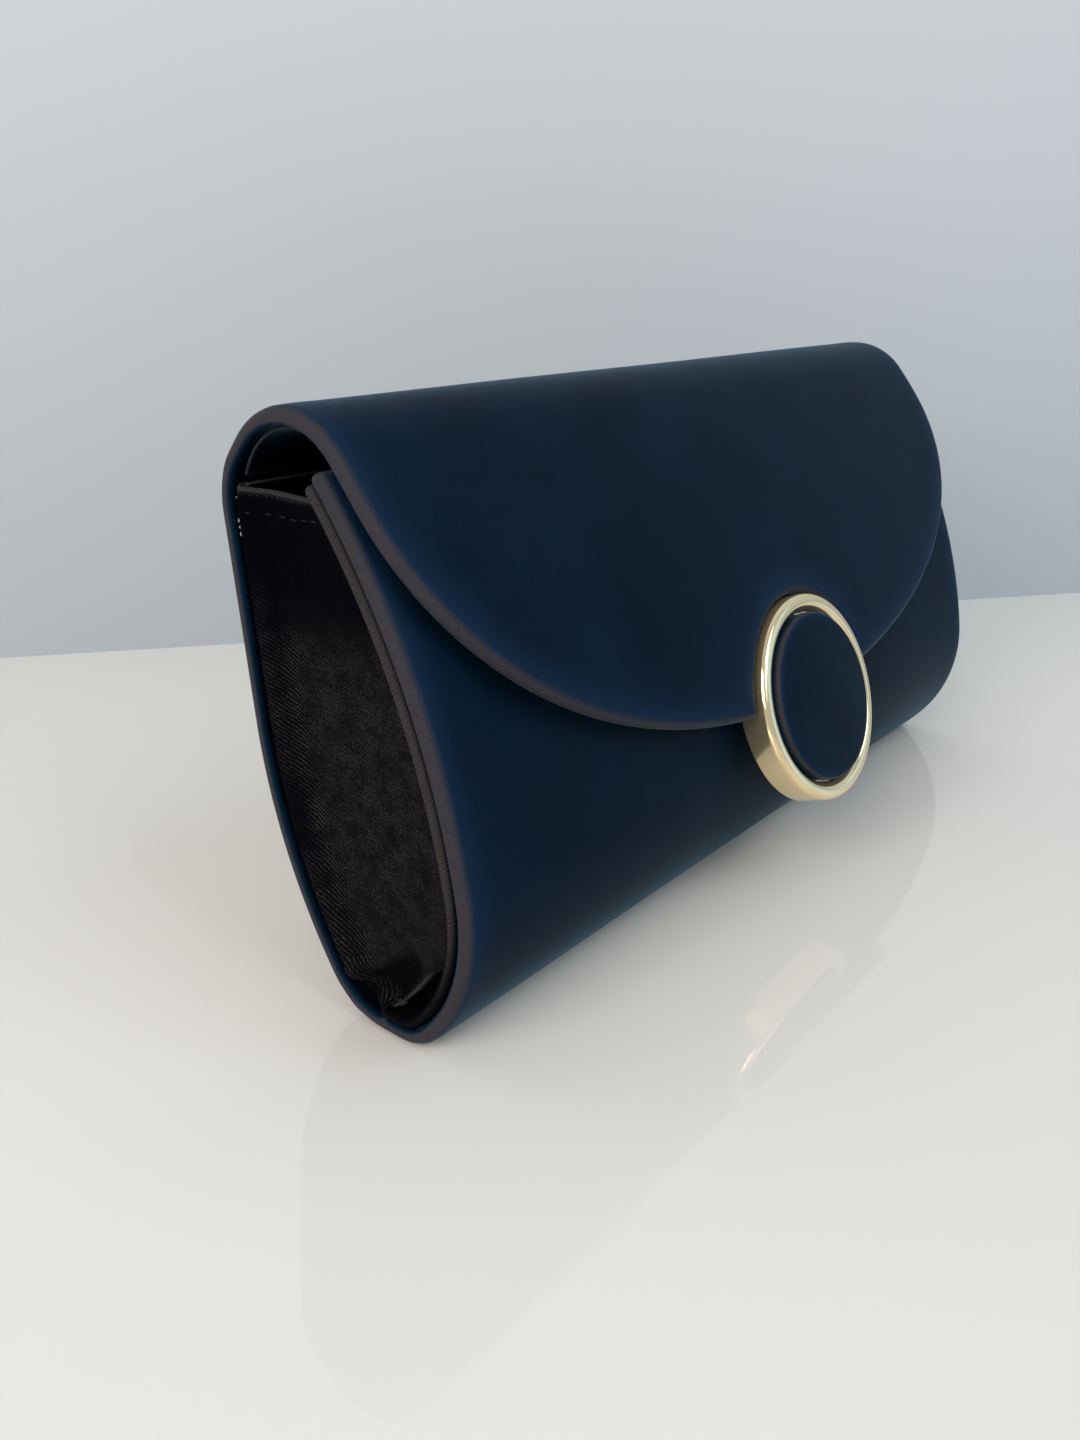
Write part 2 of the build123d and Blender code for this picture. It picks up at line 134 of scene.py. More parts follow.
def make_piece(name, sheets, finish, sharp=70, facing=None):
    """One mesh from grids of points in millimetres. A sheet is (points, pattern, rim): the pattern is the
    cloth's own flat place for its weave, and the rim tells how near its edge a point is, or on the gussets
    how much painted light falls there; the finishes turn it into painted sheen, highlight and shade. An open
    sheet is turned over if most of it doesn't look the way it is facing."""
    corners, faces, flats, rims, count = [], [], [], [], 0
    for points, pattern, rim in sheets:
        rows, columns = points.shape[:2]
        index = count + np.arange(rows * columns).reshape(rows, columns)
        quads = np.stack([index[:-1, :-1], index[:-1, 1:], index[1:, 1:], index[1:, :-1]], -1)
        faces.append(quads.reshape(-1, 4))
        corners.append(points.reshape(-1, 3) * millimetre)
        flats.append(pattern.reshape(-1, 2))
        rims.append(rim.ravel())
        count += rows * columns
    corners, faces, flats, rims = (np.concatenate(a) for a in (corners, faces, flats, rims))
    mesh = bpy.data.meshes.new(name)
    mesh.from_pydata(corners, [], faces.tolist())
    mesh.uv_layers.new(name="pattern").data.foreach_set("uv", flats[faces.ravel()].ravel())
    mesh.attributes.new("rim", "FLOAT", "POINT").data.foreach_set("value", rims)
    merged_within, shortest_edge = 4e-6, 1e-6
    shell = bmesh.new()
    shell.from_mesh(mesh)
    bmesh.ops.remove_doubles(shell, verts=shell.verts, dist=merged_within)
    bmesh.ops.dissolve_degenerate(shell, edges=shell.edges, dist=shortest_edge)
    bmesh.ops.recalc_face_normals(shell, faces=shell.faces)
    if facing and sum(face.calc_area() * face.normal.dot(Vector(facing)) for face in shell.faces) < 0:
        bmesh.ops.reverse_faces(shell, faces=shell.faces)
    shell.to_mesh(mesh)
    shell.free()
    mesh.shade_smooth()
    mesh.set_sharp_from_angle(angle=radians(sharp))
    mesh.materials.append(finish)
    piece = bpy.data.objects.new(name, mesh)
    bpy.context.scene.collection.objects.link(piece)
    return piece


def rolled_panel(x, length, rim, outer, thickness, swell=0.0, caps=(), bow=0.0):
    """Grids of a padded panel. Its two faces lie at insets from the outline and meet in a round roll:
    with g the gap to the rim, a face falls back by r - sqrt(r^2 - (r - g)^2) while g < r, where r is
    two thirds of the thickness outside and one third inside. The outer face swells by a smooth bump
    just inside the roll, and both bow alike. Neither happens on the strip that the purse stands on.
    A capped row is closed by a strip from face to face."""
    swell_reach, crest_at, crest_width, strip_reach = 2.2, 5, 4, 9
    gap = edge_gap(x, length, rim)
    fall, inner_fall = (r - np.sqrt(np.maximum(r**2 - (r - np.minimum(gap, r)) ** 2, 0))
                        for r in (thickness * 2 / 3, thickness / 3))
    puff = swell * (1 - np.exp(-gap / swell_reach)) * (1 + 0.5 * bell(gap - crest_at, crest_width))
    off_strip = 1 - np.exp(-(((length - (floor_start + floor_end) / 2) / strip_reach) ** 4))
    pattern = np.stack([x, length], -1)
    front = at_inset(x, length, outer + fall - (puff + bow) * off_strip)
    back = at_inset(x, length, outer + thickness - inner_fall - bow * off_strip)
    # The rim values: near feeds the painted sheen and highlight towards the edge; inner_near falls below 0
    # deep on the inner face, which is painted dark as shade.
    near, inner_near = np.exp(-gap / 4), 2 * np.exp(-gap / 0.9) - 1
    sheets = [(front, pattern, near), (back[:, ::-1], pattern[:, ::-1], inner_near[:, ::-1])]
    for row in caps:
        ends = np.stack([front[row], back[row]])
        sheets.append((ends, np.stack([pattern[row]] * 2), np.stack([near[row]] * 2)))
    return sheets


def crowded(start, end, count):
    """Numbers from start to end, crowded together at both ends like points round a half circle."""
    return start + (end - start) * (1 - np.cos(np.linspace(0, pi, count))) / 2


class Value:
    """A material's value at each point. Arithmetic on it adds the Math nodes that work it out."""

    def __init__(self, tree, socket):
        self.tree, self.socket = tree, socket

    def math(self, operation, *others):
        inputs = dict(enumerate((self, *others)))
        return add_node(self.tree, "ShaderNodeMath", {"operation": operation}, inputs)

    def __add__(self, other):
        return self.math("ADD", other)

    def __sub__(self, other):
        return self.math("SUBTRACT", other)

    def __rsub__(self, other):
        return self.math("MULTIPLY_ADD", -1.0, other)

    def __mul__(self, other):
        return self.math("MULTIPLY", other)

    def __pow__(self, other):
        return self.math("POWER", other)

    __radd__, __rmul__ = __add__, __mul__

    def sine(self):
        return self.math("SINE")

    def between(self, low, high):
        """Runs smoothly from 0 at low to 1 at high."""
        return add_node(self.tree, "ShaderNodeMapRange", {"interpolation_type": "SMOOTHSTEP"},
                        {"Value": self, "From Min": low, "From Max": high})


def add_node(tree, kind, settings=(), sockets=(), output=0):
    """Adds a node: its settings first, then the values or links of its sockets."""
    made = tree.nodes.new(kind)
    for key, value in dict(settings).items():
        setattr(made, key, value)
    for key, value in dict(sockets).items():
        if isinstance(value, Value):
            tree.links.new(value.socket, made.inputs[key])
        else:
            made.inputs[key].default_value = value
    return Value(tree, made.outputs[output])


def new_finish(name, **constants):
    """A material with its shader's constants set on the shader's own sockets."""
    finish = bpy.data.materials.new(name)
    finish.use_nodes = True
    shader = finish.node_tree.nodes["Principled BSDF"]
    for key, value in constants.items():
        shader.inputs[key.replace("_", " ")].default_value = value
    return finish, finish.node_tree, shader


def feed(tree, shader, tone, roughness=None, height=None, strength=0.0, reach=0.0003):
    """Links the shader's colour and, where given, its roughness and a bump from a height."""
    tree.links.new(tone.socket, shader.inputs["Base Color"])
    if roughness is not None:
        tree.links.new(roughness.socket, shader.inputs["Roughness"])
    if height is not None:
        bump = add_node(tree, "ShaderNodeBump", (),
                        {"Height": height, "Strength": strength, "Distance": reach})
        tree.links.new(bump.socket, shader.inputs["Normal"])


def mixed(tree, share, first, second):
    """A colour between two others."""
    first, second = (tone if isinstance(tone, Value) else (*tone, 1.0) for tone in (first, second))
    return add_node(tree, "ShaderNodeMix", {"data_type": "RGBA"}, {0: share, 6: first, 7: second}, output=2)


def on_object(tree):
    """The place on the object itself, in metres."""
    return add_node(tree, "ShaderNodeTexCoord", output=3)


def on_cloth(tree):
    """The cloth's own flat place in millimetres, its two parts, and the rim value: how near its edge it is,
    or on the gussets how much painted light falls there.
    """
    pattern = add_node(tree, "ShaderNodeUVMap", {"uv_map": "pattern"})
    across = add_node(tree, "ShaderNodeSeparateXYZ", (), {0: pattern})
    rim = add_node(tree, "ShaderNodeAttribute", {"attribute_name": "rim"}, output=2)
    return pattern, across, Value(tree, across.socket.node.outputs[1]), rim


def noise(tree, place, scale, detail, roughness=0.5):
    """A cloudy value round a half."""
    return add_node(tree, "ShaderNodeTexNoise", (),
                    {"Vector": place, "Scale": scale, "Detail": detail, "Roughness": roughness})


def satin_finish(name, face, dip, rim_highlight_tone, painted_edge_sheen, weave=0.30, depth=0.12):
    """Satin: a dense weave whose floats catch the light, a little cloudy, with a painted blue sheen towards
    an edge and a painted warm brownish highlight where it is pulled round it, and a few specks of lint. Its
    inner side, where the rim's value is below 0, is painted darker as shade."""
    finish, tree, shader = new_finish(name, Roughness=0.5, Specular_IOR_Level=0.045,
                                      Specular_Tint=(0.40, 0.68, 1.0, 1.0), Sheen_Weight=0.26,
                                      Sheen_Roughness=0.22, Sheen_Tint=(0.30, 0.70, 1.0, 1.0))
    pattern, across, up, rim = on_cloth(tree)
    cloud = noise(tree, on_object(tree), 38.0, 3.0)
    grain = noise(tree, pattern, 1.6, 4.0, 0.7)
    warp, weft = ((way * (2 * pi / weave)).sine() for way in (across, up))
    # Painted highlight: warm brownish light caught on the roll where the satin is pulled round the edge.
    rim_highlight = rim.between(0.60, 0.90) * (grain.between(0.25, 0.7) * 0.35 + 0.65) * 0.85
    tone = mixed(tree, cloud.between(0.35, 0.68), face, dip)
    tone = mixed(tree, grain.between(0.42, 0.75) * 0.4, tone, [c * 1.6 for c in face])
    # Painted sheen: the satin is lighter blue towards an edge.
    tone = mixed(tree, rim.between(0.06, 0.62) * 0.55, tone, painted_edge_sheen)
    tone = mixed(tree, rim_highlight, tone, rim_highlight_tone)
    # Painted shade: the inner side, where the rim's value is below 0, is darkened to near black.
    tone = mixed(tree, rim.between(-0.8, 0.0), [c * 0.35 for c in dip], tone)
    specks = add_node(tree, "ShaderNodeTexVoronoi", {"feature": "F1"}, {"Vector": pattern, "Scale": 0.085})
    chance = add_node(tree, "ShaderNodeSeparateColor", (), {0: Value(tree, specks.socket.node.outputs[1])})
    lint = (1 - specks.between(0.012, 0.026)) * chance.between(0.55, 0.6)
    tone = mixed(tree, lint * 0.3, tone, (0.11, 0.16, 0.19))
    feed(tree, shader, tone, grain * 0.16 + 0.42, warp * weft * 0.5 + grain * 1.2 + cloud * 3.0, depth)
    return finish


navy_satin = satin_finish("navy_satin", face=(0.0017, 0.0100, 0.0232), dip=(0.0012, 0.0066, 0.0155),
                          rim_highlight_tone=(0.051, 0.042, 0.043), painted_edge_sheen=(0.0075, 0.0235, 0.0600))


def rounded_top(columns, rows, half, top):
    """A pattern as wide as the half width each way, whose two top corners are arcs: at a depth d below
    the top the side has come in by r - sqrt(r^2 - (r - d)^2). Its rim is open far below."""
    far_below = 400.0
    down = np.clip(corner_round - (rows - top), 0, corner_round)
    side = half - corner_round + np.sqrt(np.maximum(corner_round**2 - down**2, 0))
    x = side[:, None] * columns[None, :]
    left, right = np.stack([-side, rows], -1), np.stack([side, rows], -1)
    rim = np.concatenate([[(-half, far_below)], left[::-1], right, [(half, far_below)]])
    return x, np.broadcast_to(rows[:, None], x.shape).copy(), rim


def slow_waves(x, length, wavelengths):
    """The unevenness of cloth over foam, a tenth of a millimetre high: two slanting sines multiplied."""
    first_x, first_s, second_s, second_x = wavelengths
    return 0.10 * np.sin(x / first_x + length / first_s) * np.sin(length / second_s - x / second_x)


# Rows crowd at the mouth's edge, where the roll is.
front_rows = np.concatenate([crowded(0, 8, 20)[:14], np.linspace(6.3, floor_start + seam_back, 90)])
front_x, front_s, front_rim = rounded_top(crowded(-1, 1, 120), front_rows, half_length, 0.0)
front_sheets = rolled_panel(front_x, front_s, front_rim, 0.0, wall_thickness, wall_swell, caps=(-1,),
                            bow=slow_waves(front_x, front_s, (31, 23, 17, 47)))
front_satin = make_piece("front_wall_satin", front_sheets, navy_satin)
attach(front_satin, "body")

# ---- back wall and flap: one length of padded satin from the base over the arch to the clasp ----
# The flap is a half ellipse with a round notch for the ring. The board stops at the crease, so the
# satin bends there in a narrow strip.
flap_half, shoulder_height, flap_depth, notch_radius = 107.2, 101.189, 57.0, 23.8
clasp_centre, clasp_tilt = np.array([-31.0925, 44.6887]), radians(20.0)
clasp_up = np.array([np.sin(clasp_tilt), np.cos(clasp_tilt)])
narrowing_run, blend_half, past_edge = 7.0, 5 * millimetre, 40.0


def smooth_step(value, low, high):
    """0 below low, 1 above high, and a smooth rise between."""
    share = np.clip((value - low) / (high - low), 0, 1)
    return share * share * (3 - 2 * share)


def flap_pattern(margin, start, columns, rows, lower_rows, closed=False):
    """The flap's flat pattern and its rim. Each column runs down from the start to the rim, which is
    the half ellipse z = shoulder - depth * sqrt(1 - (x / half)^2) or, in the middle, the notch's
    circle. The rim goes on past the start, or is closed along it."""
    half, depth, notch = flap_half - margin, flap_depth - margin, notch_radius + margin
    apron = np.linspace(stations[9] - 12, stations[10], 3000)
    point = along_outline(apron)[0]
    height, rise = point[:, 1], (point - clasp_centre) @ clasp_up

    def to_ellipse(x):
        """The length along the outline at which the half ellipse is reached."""
        level = shoulder_height - depth * np.sqrt(np.clip(1 - (x / half) ** 2, 0, 1))
        return np.interp(-level, -height, apron)

    def to_notch(x):
        """The length along the outline at which the notch's circle is reached."""
        return np.interp(-np.sqrt(np.clip(notch**2 - x**2, 0, None)), -rise, apron)

    tries = np.linspace(notch * 0.9, notch, 4000)
    corner = tries[np.argmin(np.abs(to_notch(tries) - to_ellipse(tries)))]
    side = crowded(corner, half, columns)
    middle = crowded(-corner, corner, columns * 3 // 4)
    x = np.concatenate([-side[::-1], middle[1:-1], side])
    end = np.where(np.abs(x) < corner - 1e-6, to_notch(x), to_ellipse(x))
    even = np.linspace(0, 0.95, rows, endpoint=False)
    share = np.concatenate([even, 1 - 0.05 * (1 - np.linspace(0, 1, lower_rows)) ** 1.6])
    flap_s = start + (end - start) * share[:, None]
    above = start if closed else start - past_edge
    first, last = [(-half, above)], [(half, above)]
    rim = np.concatenate([first, np.stack([x, end], -1), last] + [first] * closed)
    return np.broadcast_to(x, flap_s.shape).copy(), flap_s, rim


flap_x, flap_s, flap_rim = flap_pattern(0.0, crease, 52, 64, 14)
# The back is as long as the front wall; past the crease the satin narrows smoothly to the flap.
flap_x *= 1 + (half_length / flap_half - 1) * (1 - smooth_step(flap_s - crease, 0.0, narrowing_run))
back_rows = np.linspace(floor_start + seam_back, crease, 58)[:-1]
back_x = np.repeat(flap_x[:1], len(back_rows), 0)
wrap_x = np.concatenate([back_x, flap_x])
wrap_s = np.concatenate([np.broadcast_to(back_rows[:, None], back_x.shape), flap_s])
beside = np.stack([wrap_x[:, 0], wrap_s[:, 0]], -1)
wrap_rim = np.concatenate([[(-half_length, floor_start - past_edge)], beside, flap_rim[2:-2],
                           beside[::-1] * [-1, 1], [(half_length, floor_start - past_edge)]])
pinch = -0.12 * bell(wrap_s - crease, 2.2)
wrap_sheets = rolled_panel(wrap_x, wrap_s, wrap_rim, 0.0, wall_thickness, wall_swell, caps=(0,),
                           bow=slow_waves(wrap_x, wrap_s, (29, 26, 19, 41)) + pinch)
wrap_satin = make_piece("back_and_flap_satin", wrap_sheets, navy_satin)
hinge_at = np.array([0.0, *along_outline(np.array([crease]))[0][0] * millimetre])
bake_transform(wrap_satin)
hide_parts("body_cover", "flap_cover")

# ---- padding: thin white fleece between the satin and the boards ----
# Cut to the board's shape and stuck to it; it stops short of the crease.
foam_outer, foam_thickness, pad_half, pad_top, crease_gap, flap_pad_margin = 0.85, 0.55, 105.8, 2.4, 3.2, 1.5
fleece, tree, shader = new_finish("fleece", Roughness=0.95, Specular_IOR_Level=0.1, Sheen_Weight=0.4)
tufts = noise(tree, on_object(tree), 900.0, 4.0)
feed(tree, shader, mixed(tree, tufts.between(0.3, 0.7), (0.62, 0.62, 0.59), (0.80, 0.80, 0.77)),
     height=tufts, strength=0.5, reach=0.0004)
pad_end = crease - crease_gap
pad_x, pad_s = np.meshgrid(crowded(-pad_half, pad_half, 40), np.linspace(pad_top, pad_end, 110))
pad_rim = np.array([(-pad_half, pad_end), (-pad_half, pad_top), (pad_half, pad_top), (pad_half, pad_end),
                    (-pad_half, pad_end)])
pad_sheets = rolled_panel(pad_x, pad_s, pad_rim, foam_outer, foam_thickness)
body_padding = make_piece("body_padding", pad_sheets, fleece)
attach(body_padding, "body")
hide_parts("body_foam")
pad_x, pad_s, pad_rim = flap_pattern(flap_pad_margin, crease + crease_gap, 30, 40, 6, closed=True)
pad_sheets = rolled_panel(pad_x, pad_s, pad_rim, foam_outer, foam_thickness)
flap_padding = make_piece("flap_padding", pad_sheets, fleece)
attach(flap_padding, "flap")
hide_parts("flap_foam")

# ---- inner panels: thin cards in lining twill, glued inside the walls ----
# They carry the gussets, and their rolled edges show as a second strand inside the outer one.
panel_outer, panel_thickness, panel_half, covered_half, card_seam = 3.2, 2.35, 108.1, 105.2, 0.3
front_card_top, back_card_end = 0.5, crease - 0.8


def twill_finish(name, dark, pale, rim_highlight_tone, light_and_rim_highlight, pitch=0.60):
    """Twill: ridges a pitch apart that climb across the cloth, broken up by the weft and cloudy, whose pale
    shine is painted sheen. The rim's value gives how much painted sheen and how much painted pale highlight a
    place gets."""
    finish, tree, shader = new_finish(name, Roughness=0.6, Specular_IOR_Level=0.022)
    pattern, across, up, rim = on_cloth(tree)
    wobble = noise(tree, pattern, 0.35, 2.0)
    cloud = noise(tree, pattern, 0.22, 4.0, 0.68)
    fleck = noise(tree, pattern, 2.0, 3.0, 0.8)
    ridge = ((across * 0.66 + up * 0.75 + wobble * 0.8) * (2 * pi / pitch)).sine() * 0.5 + 0.5
    weft = ((across * 0.75 - up * 0.66) * (2 * pi / (pitch * 0.8))).sine() * 0.5 + 0.5
    # Painted sheen and a painted pale highlight, both from the rim's value.
    painted_light, rim_highlight = light_and_rim_highlight(rim)
    shine = ridge**1.4 * (weft * 0.5 + 0.5)
    shine = shine * (cloud.between(0.32, 0.64) * 0.7 + 0.3) * (fleck.between(0.40, 0.60) * 0.8 + 0.2) * painted_light
    tone = mixed(tree, shine, dark, pale)
    tone = mixed(tree, rim_highlight * (ridge * 0.15 + 0.85), tone, rim_highlight_tone)
    feed(tree, shader, tone, 0.66 - shine * 0.22, ridge * (weft * 0.3 + 0.7) + fleck * 0.6, 0.35)
    return finish


def narrow_rim_highlight(sheets, highlight_strength):
    """The same grids with a rim value that falls off faster: near^2.2, cut at 0 and times a strength that
    changes along the card. It sets the painted highlight on the card's rolled edge."""
    return [(points, pattern, np.clip(near, 0, 1) ** 2.2 * highlight_strength(pattern[..., 1]))
            for points, pattern, near in sheets]


# On the cards the rim's value near the rolled edge gives painted sheen and a painted pale highlight.
lining_twill = twill_finish(
    "lining_twill", dark=(0.0012, 0.0014, 0.0028), pale=(0.030, 0.028, 0.032), rim_highlight_tone=(0.050, 0.045, 0.048),
    light_and_rim_highlight=lambda rim: (rim.between(0.3, 0.9), rim.between(0.5, 0.85) * 0.75))
card_rows = np.concatenate([front_card_top + crowded(0, 5, 18)[:12],
                            np.linspace(4.9, floor_start + seam_back - card_seam, 80)])
card_x, card_s, card_rim = rounded_top(crowded(-1, 1, 90), card_rows, panel_half, front_card_top)
card_sheets = rolled_panel(card_x, card_s, card_rim, panel_outer, panel_thickness, caps=(-1,))
# The card's rolled edge gets a painted pale highlight, fading lower down the card.
card_sheets = narrow_rim_highlight(card_sheets, lambda along: 1 - 0.45 * smooth_step(along, 55, 110))
front_card = make_piece("front_lining_panel", card_sheets, lining_twill)
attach(front_card, "body")
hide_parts("front_inner_panel")
# The gussets' twill is folded over the back card's ends, so it is shorter than the front one.
card_rows = np.concatenate([np.linspace(floor_start + seam_back + card_seam, back_card_end - 4.5, 70),
                            back_card_end - crowded(0, 5, 14)[:10][::-1]])
card_x, card_s = np.meshgrid(crowded(-covered_half, covered_half, 90), card_rows)
card_rim = np.array([(-covered_half, floor_start), (-covered_half, back_card_end),
                     (covered_half, back_card_end), (covered_half, floor_start)])
card_sheets = rolled_panel(card_x, card_s, card_rim, panel_outer, panel_thickness, caps=(0,))
hem_start, hem_full = back_card_end - 4, back_card_end - 2
# The back card's edge gets a weaker painted highlight, full only near its top hem.
card_sheets = narrow_rim_highlight(card_sheets, lambda along: 0.3 + 0.7 * smooth_step(along, hem_start, hem_full))
back_card = make_piece("back_lining_panel", card_sheets, lining_twill)
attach(back_card, "body")
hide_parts("back_inner_panel")

# ---- flap lining: a satin panel with a folded hem, glued inside the flap ----
# It starts just past the crease and follows the flap's curve, narrower all round.
lining_margin, lining_start, lining_outer, lining_thickness = 2.3, crease + 0.4, 3.15, 0.85
lining_satin = satin_finish("lining_satin", face=(0.0022, 0.0036, 0.0078), dip=(0.0016, 0.0026, 0.0056),
                            rim_highlight_tone=(0.036, 0.034, 0.042), painted_edge_sheen=(0.012, 0.017, 0.032),
                            weave=0.34, depth=0.16)
lining_x, lining_s, lining_rim = flap_pattern(lining_margin, lining_start, 40, 56, 10, closed=True)
lining_sheets = rolled_panel(lining_x, lining_s, lining_rim, lining_outer, lining_thickness)
flap_lining = make_piece("flap_lining_satin", lining_sheets, lining_satin)
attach(flap_lining, "flap")
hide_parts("flap_lining")

# ---- gussets: soft twill end panels, folded round the back panel's edge and tucked in front ----
# At the back the cloth wraps over the panel's edge; in front it goes in behind it. A pleat takes up
# the fullness at the bottom, and a turned and stitched hem closes the top.
hem_front, hem_back, hem_sag, hem_radius = 97.9, 98.9, 0.9, 0.5
front_inset, back_inset, pleat_at, panel_plane = 6.4, 3.8, floor_start + 3.4, -104.0
fold_from, fold_way = np.array([12.0, 6.6]), np.array([-0.811, 0.585])
lip_from, lip_way = np.array([-10.8, 16.3]), np.array([0.640, -0.768])
ply_inwards, twill_thick, ply_thick = 1.6, 0.45 * millimetre, 0.3 * millimetre
# On the gussets the rim's value carries painted light: the painted sheen, and above 1 a painted pale
# highlight.
black_twill = twill_finish(
    "black_twill", dark=(0.0007, 0.0009, 0.0024), pale=(0.062, 0.056, 0.062), rim_highlight_tone=(0.044, 0.044, 0.050),
    light_and_rim_highlight=lambda rim: (rim.between(0.0, 1.0), (rim - 1.0).between(0.0, 1.0) * 0.8))


def rise_along(inset, height, near, far):
    """The length along the outline at which a line at an inset comes to a height."""
    tries = np.linspace(near, far, 2000)
    point, inward = along_outline(tries)
    level = (point + inward * inset)[:, 1]
    order = np.argsort(level)
    return np.interp(height, level[order], tries[order])


def edge_line(start, inset):
    """One edge of the end panel: the outline moved in, from the hem down to the pleat."""
    point, inward = along_outline(np.linspace(start, pleat_at, 260))
    return point + inward * inset


front_end = rise_along(front_inset, hem_front, 0, front_foot)
back_end = rise_along(back_inset, hem_back, back_foot, crease)
front_line, back_line = edge_line(front_end, front_inset), edge_line(back_end, back_inset)


def gusset_shape(y, z):
    """How far out the cloth is at a place of the end panel, and how much painted light it gets there: a bow
    inwards that grows away from both edges, a roll over the back panel's edge, one slanting fold with a
    hollow below it, a pleat's lip with a slit in front of it, and faint ripples, all smooth bumps. The
    painted light is dark towards the top and near both edges, painted shade in the hollow and the slit, with
    painted highlight bands near the back edge and along the lip."""
    from_front, from_back = edge_gap(y, z, front_line), edge_gap(y, z, back_line)
    bowed = (1 - np.exp(-from_front / 6)) * (1 - np.exp(-from_back / 9))
    depth = 2.2 * bowed * (0.5 + 0.5 * smooth_step(z, 20, 50))
    rolled = smooth_step(from_front / np.maximum(from_front + from_back, 1e-6), 0.3, 0.75)
    depth += rolled * (1.3 * bell(from_back, 0.55) - 3.65 * bell(from_back, 3.7))
    run = (y - fold_from[0]) * fold_way[0] + (z - fold_from[1]) * fold_way[1]
    below = (z - fold_from[1]) * fold_way[0] - (y - fold_from[0]) * fold_way[1]
    along_fold = smooth_step(run, -3, 3) * (1 - smooth_step(run, 15, 22))
    hollow = smooth_step(below, 0.2, 3.0) * (1 - smooth_step(below, 4.5, 9)) * along_fold
    depth += 2.3 * hollow - 0.55 * bell(below + 0.8, 1.2) * along_fold
    beyond = (y - lip_from[0]) * lip_way[1] - (z - lip_from[1]) * lip_way[0]
    lip = 1 - smooth_step(z, 12, 18)
    slit = smooth_step(beyond, 0.0, 0.9) * lip
    depth += 2.6 * slit - 0.9 * bell(beyond + 0.8, 1.1) * lip
    ripple = np.sin((y * 0.72 - z * 0.69) / 1.7 + 0.9 * np.sin(z / 7)) * np.sin(z / 9.5 + y / 6)
    held = (1 - np.exp(-from_front / 5)) * (1 - np.exp(-from_back / 5)) * (1 - smooth_step(z, 64, 80))
    depth += 0.16 * ripple * held
    # Painted light: darker towards the top, where the flap's shadow falls, and near both edges; painted shade
    # in the hollow and the slit; painted highlight bands near the back edge.
    shade_near_edges = (0.25 + 0.75 * smooth_step(from_back, 2.2, 6.0)) * (1 - 0.45 * bell(from_front, 3))
    painted_light = (1 - smooth_step(z, 62, 84)) * shade_near_edges * (1 - 0.7 * hollow) * (1 - 0.85 * slit)
    painted_light += 0.35 * bell(from_back - 1.9, 1.2) * smooth_step(z, 42, 52) * (1 - smooth_step(z, 78, 88))
    painted_light += 0.6 * bell(from_back - 1.9, 1.3) * (1 - smooth_step(z, 22, 36))
    return panel_plane + depth, painted_light + 1.3 * bell(beyond + 0.35, 0.4) * lip


def gusset_sheet(side, inwards, hemmed):
    """The end panel as a grid: rows from the hem down to the pleat, each a straight line in the
    panel's plane from the front edge to the back edge, with a flange along the front panel and a
    tucked strip at the back. Side is -1 on the left and 1 on the right."""
    down = 1 - (1 - np.linspace(0, 1, 130)) ** 1.5
    front_point, front_in = along_outline(front_end + (pleat_at - front_end) * down)
    back_point, back_in = along_outline(back_end + (pleat_at - back_end) * down)
    even = np.linspace(0, 1, 72)
    across = (0.5 * even + 0.25 * (1 - np.cos(pi * even)))[None, :, None]
    flat = ((front_point + front_in * front_inset)[:, None] * (1 - across)
            + (back_point + back_in * back_inset)[:, None] * across)
    x, painted_light = gusset_shape(flat[..., 0], flat[..., 1])
    flange_depth = np.array([7.0, 5.0, 3.0, 1.4, 0.6, 0.15])
    flange_rise = np.array([0.0, 0.0, 0.0, 0.08, 0.30, 0.55]) + front_inset - 0.75
    flange = front_point[:, None] + front_in[:, None] * flange_rise[None, :, None]
    tucked = (back_point + back_in * (back_inset - 0.2))[:, None]
    flat = np.concatenate([flange, flat, tucked], 1)
    x = np.concatenate([x[:, :1] + flange_depth, x, x[:, -1:] + 1.6], 1) + inwards
    # The flange takes the front row's painted light; the tucked strip gets none and is painted dark as shade.
    painted_light = np.concatenate([np.repeat(painted_light[:, :1], len(flange_depth), 1), painted_light, painted_light[:, -1:] * 0], 1)
    sagging = np.sin(pi * np.clip(np.linspace(-0.08, 1.0, x.shape[1]), 0, 1))
    sagging = sagging * smooth_step(flat[..., 1], 84, 98)
    cloth = np.stack([x, flat[..., 0], flat[..., 1] - hem_sag * sagging], -1)
    # A painted highlight along the top edge, under the hem.
    painted_light += 1.9 * bell(cloth[:1, :, 2] - cloth[..., 2], 0.7)
    if hemmed:
        turn = np.linspace(pi, 0, 7)[:-1]
        over = np.stack([hem_radius * (1 - np.cos(turn)), 0 * turn, hem_radius * np.sin(turn)], -1)
        under = np.array([[2 * hem_radius, 0, -drop] for drop in (1.5, 1.0, 0.5)])
        hem = cloth[:1] + np.concatenate([under, over])[:, None]
        cloth = np.concatenate([hem, cloth])
        painted_light = np.concatenate([np.repeat(painted_light[:1], len(hem), 0), painted_light])
    cloth[..., 0] *= -side
    return cloth, np.stack([cloth[..., 1] * side, cloth[..., 2]], -1), painted_light


def grains(centres, sizes):
    """Small closed ellipsoids at the centres, each a grid over two angles."""
    tilt, turn = np.linspace(0, pi, 7)[:, None], np.linspace(0, 2 * pi, 9)[None, :]
    ball = np.stack([np.sin(tilt) * np.cos(turn), np.cos(tilt) + 0 * turn, np.sin(tilt) * np.sin(turn)], -1)
    return [(centre + ball * size, ball[..., :2], ball[..., 0] * 0) for centre, size in zip(centres, sizes)]


